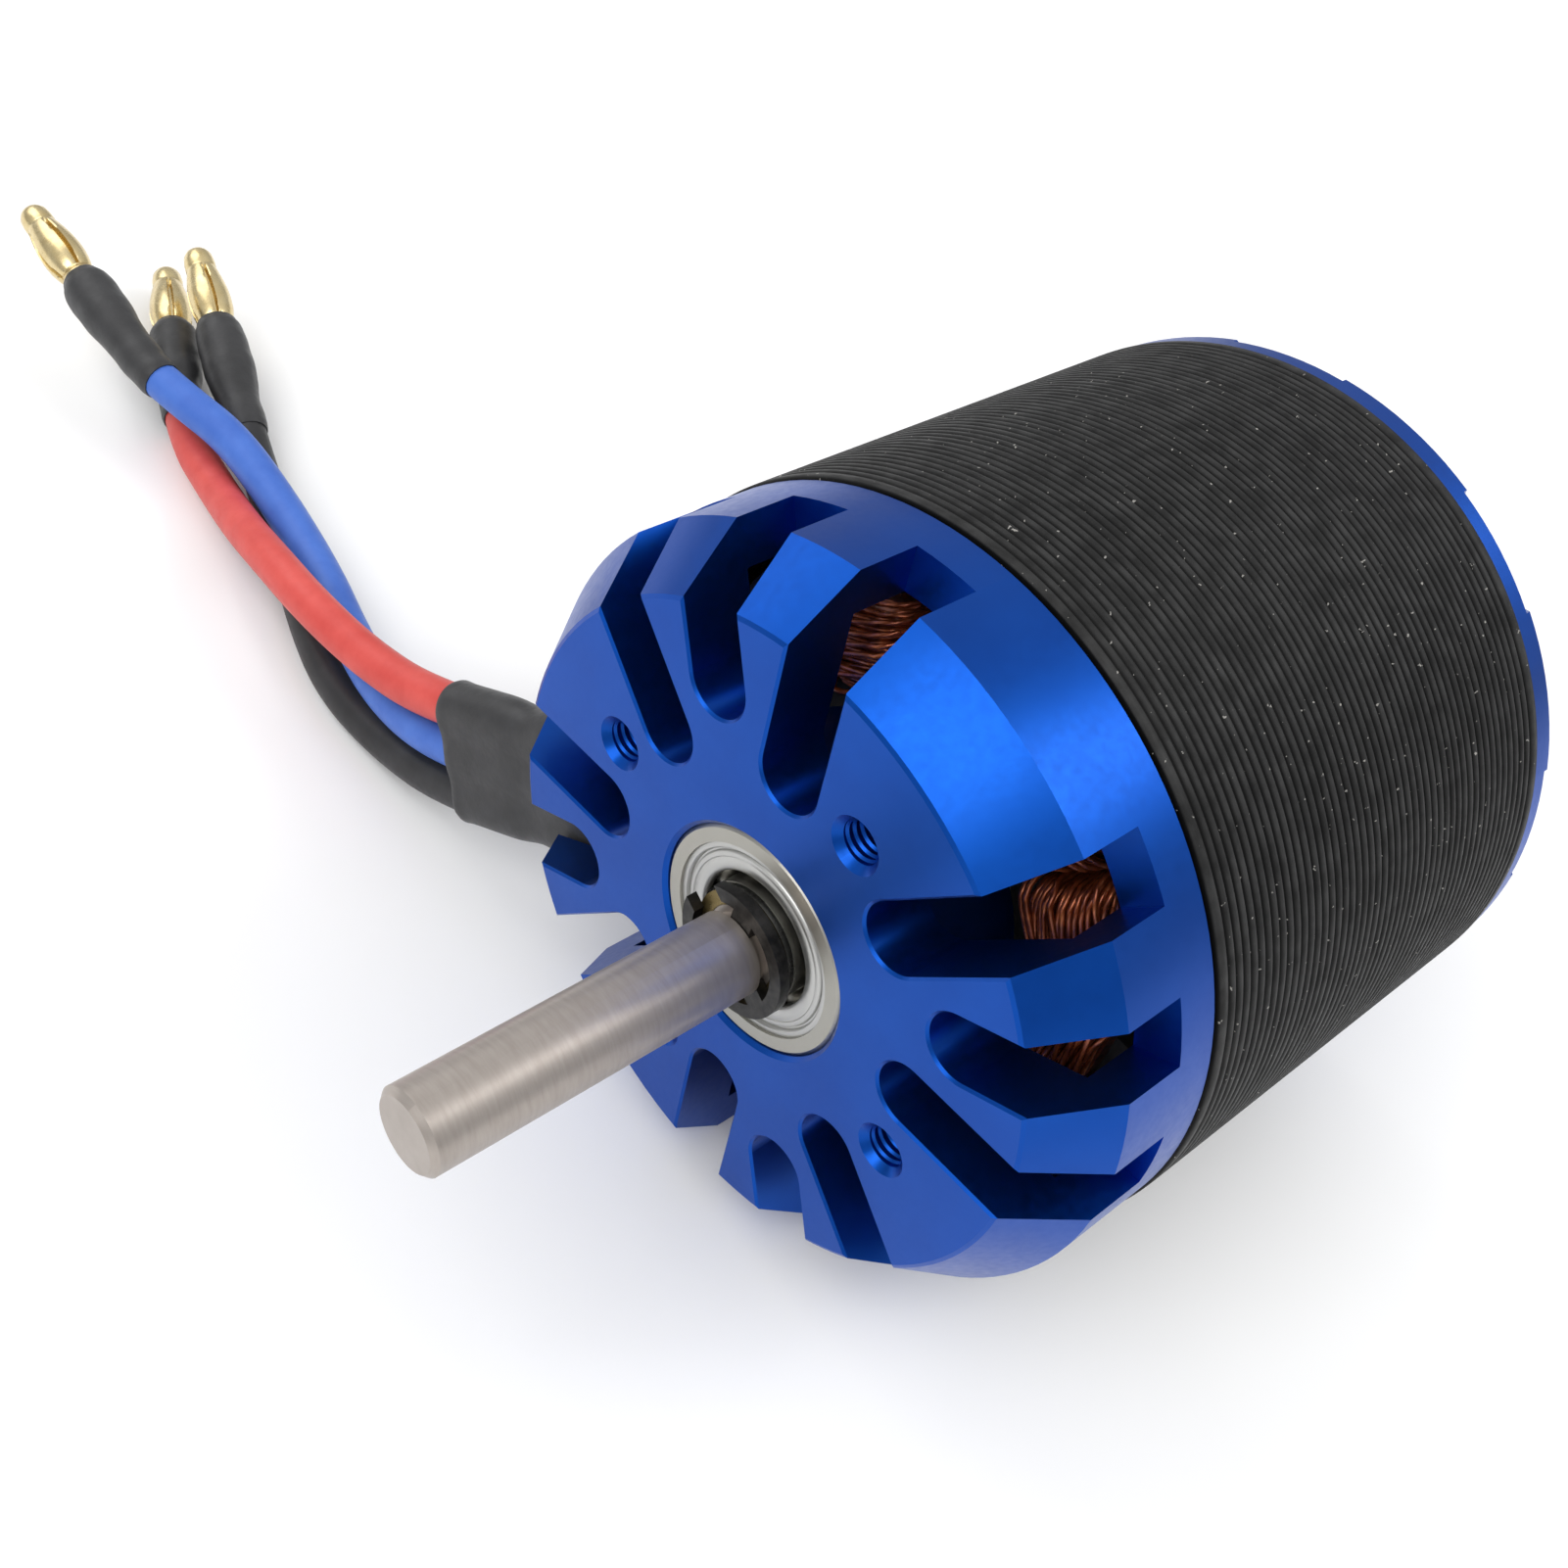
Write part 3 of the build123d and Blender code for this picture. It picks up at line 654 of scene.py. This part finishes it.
look = Look("magnet_nickel", (0.5, 0.49, 0.46), 1.0, 0.3)
look.rough(look.noise(1.5, 4), 0.2, 0.4)
LOOKS["magnet_nickel"] = look

look = Look("black_oxide", (0.02, 0.02, 0.022), 0.7, 0.32)
look.color(look.ramp(look.noise(0.6, 5), (0.35, 0.012), (0.7, (0.04, 0.038, 0.036))))
look.rough(look.noise(0.4, 4), 0.25, 0.42)
LOOKS["black_oxide"] = look

look = Look("washer_steel", (0.07, 0.07, 0.068), 1.0, 0.24)
look.rough(look.noise(0.5, 4), 0.18, 0.32)
look.bump(look.line_noise(look.radius(), 0.06), 0.002)
LOOKS["washer_steel"] = look

look = Look("washer_bronze", (0.2, 0.15, 0.06), 1.0, 0.3)
look.rough(look.noise(0.4, 4), 0.22, 0.4)
LOOKS["washer_bronze"] = look

look = Look("heat_shrink", (0.035, 0.035, 0.037), 0.0, 0.42, Specular_IOR_Level=0.35)
look.color(look.ramp(look.noise(2.2, 4), (0.3, (0.028, 0.028, 0.029)), (0.75, (0.044, 0.044, 0.046))))
look.rough(look.noise(0.9, 4), 0.36, 0.52)
look.bump(look.noise(0.9, 4), 0.05)
LOOKS["heat_shrink"] = look

for name, low, high in (
    ("red", (0.56, 0.06, 0.05), (0.66, 0.09, 0.075)),
    ("blue", (0.045, 0.13, 0.5), (0.065, 0.17, 0.58)),
    ("black", (0.02, 0.02, 0.021), (0.03, 0.03, 0.032)),
):
    look = Look(f"silicone_{name}", high, 0.0, 0.45, Specular_IOR_Level=0.35)
    look.color(look.ramp(look.noise(2.5, 4), (0.3, low), (0.7, high)))
    look.rough(look.noise(0.7, 4), 0.4, 0.55)
    look.bump(look.noise(0.5, 4), 0.012)
    LOOKS[f"silicone_{name}"] = look

look = Look("gold_plate", (0.82, 0.66, 0.34), 1.0, 0.24)
look.color(look.ramp(look.noise(1.2, 4), (0.3, (0.66, 0.52, 0.26)), (0.7, (0.76, 0.63, 0.36))))
look.rough(look.noise(0.5, 4), 0.18, 0.34)
LOOKS["gold_plate"] = look

slots = {s["node"]: s["material_slot"] for s in frame["record"]["subparts"]}
for name, node in frame["nodes"].items():
    node.data.materials.clear()
    node.data.materials.append(LOOKS[slots[name]].material)
for obj in bpy.data.objects:
    if "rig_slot" in obj:
        obj.data.materials.clear()
        obj.data.materials.append(LOOKS[obj["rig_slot"]].material)

# ---- floor and light ---------------------------------------------------------------------------------------
floor_mesh = bpy.data.meshes.new("floor")
size, level = 1.2, -23.04 * MM
floor_mesh.from_pydata(
    [(-size, -size, level), (size, -size, level), (size, size, level), (-size, size, level)], [], [(0, 1, 2, 3)]
)
floor = bpy.data.objects.new("floor", floor_mesh)
bpy.context.collection.objects.link(floor)
look = Look("floor", (0.86, 0.86, 0.86), 0.0, 0.6, Specular_IOR_Level=0.3)
look.color(look.ramp(look.noise(40, 3), (0.3, 0.93), (0.7, 0.96)))
floor.data.materials.append(look.material)

world = bpy.data.worlds.new("studio")
bpy.context.scene.world = world
world.use_nodes = True
tree = world.node_tree
coords = tree.nodes.new("ShaderNodeTexCoord")
split = tree.nodes.new("ShaderNodeSeparateXYZ")
ramp = tree.nodes.new("ShaderNodeValToRGB")
ramp.color_ramp.elements[0].position = 0.0
ramp.color_ramp.elements[0].color = (0.5, 0.51, 0.53, 1)
ramp.color_ramp.elements[1].position = 0.9
ramp.color_ramp.elements[1].color = (1.0, 1.0, 1.0, 1)
tree.links.new(coords.outputs["Generated"], split.inputs[0])
tree.links.new(split.outputs["Z"], ramp.inputs[0])
tree.links.new(ramp.outputs[0], tree.nodes["Background"].inputs[0])
tree.nodes["Background"].inputs[1].default_value = 0.85


def area_light(name, place, target, size, power):
    """A soft panel aimed at a point, places in metres."""
    light = bpy.data.lights.new(name, "AREA")
    light.size = size
    light.energy = power
    obj = bpy.data.objects.new(name, light)
    bpy.context.collection.objects.link(obj)
    obj.location = place
    obj.rotation_euler = (Vector(target) - Vector(place)).to_track_quat("-Z", "Y").to_euler()


area_light("key", (0.34, 0.02, 0.44), (0, 0, 0), 0.4, 1.5)
area_light("rear", (-0.35, 0.22, 0.42), (0, 0, 0), 0.25, 0.8)
area_light("side", (0.05, -0.5, 0.35), (0, -0.03, 0), 0.35, 0.7)

bpy.context.scene.view_settings.view_transform = "Standard"
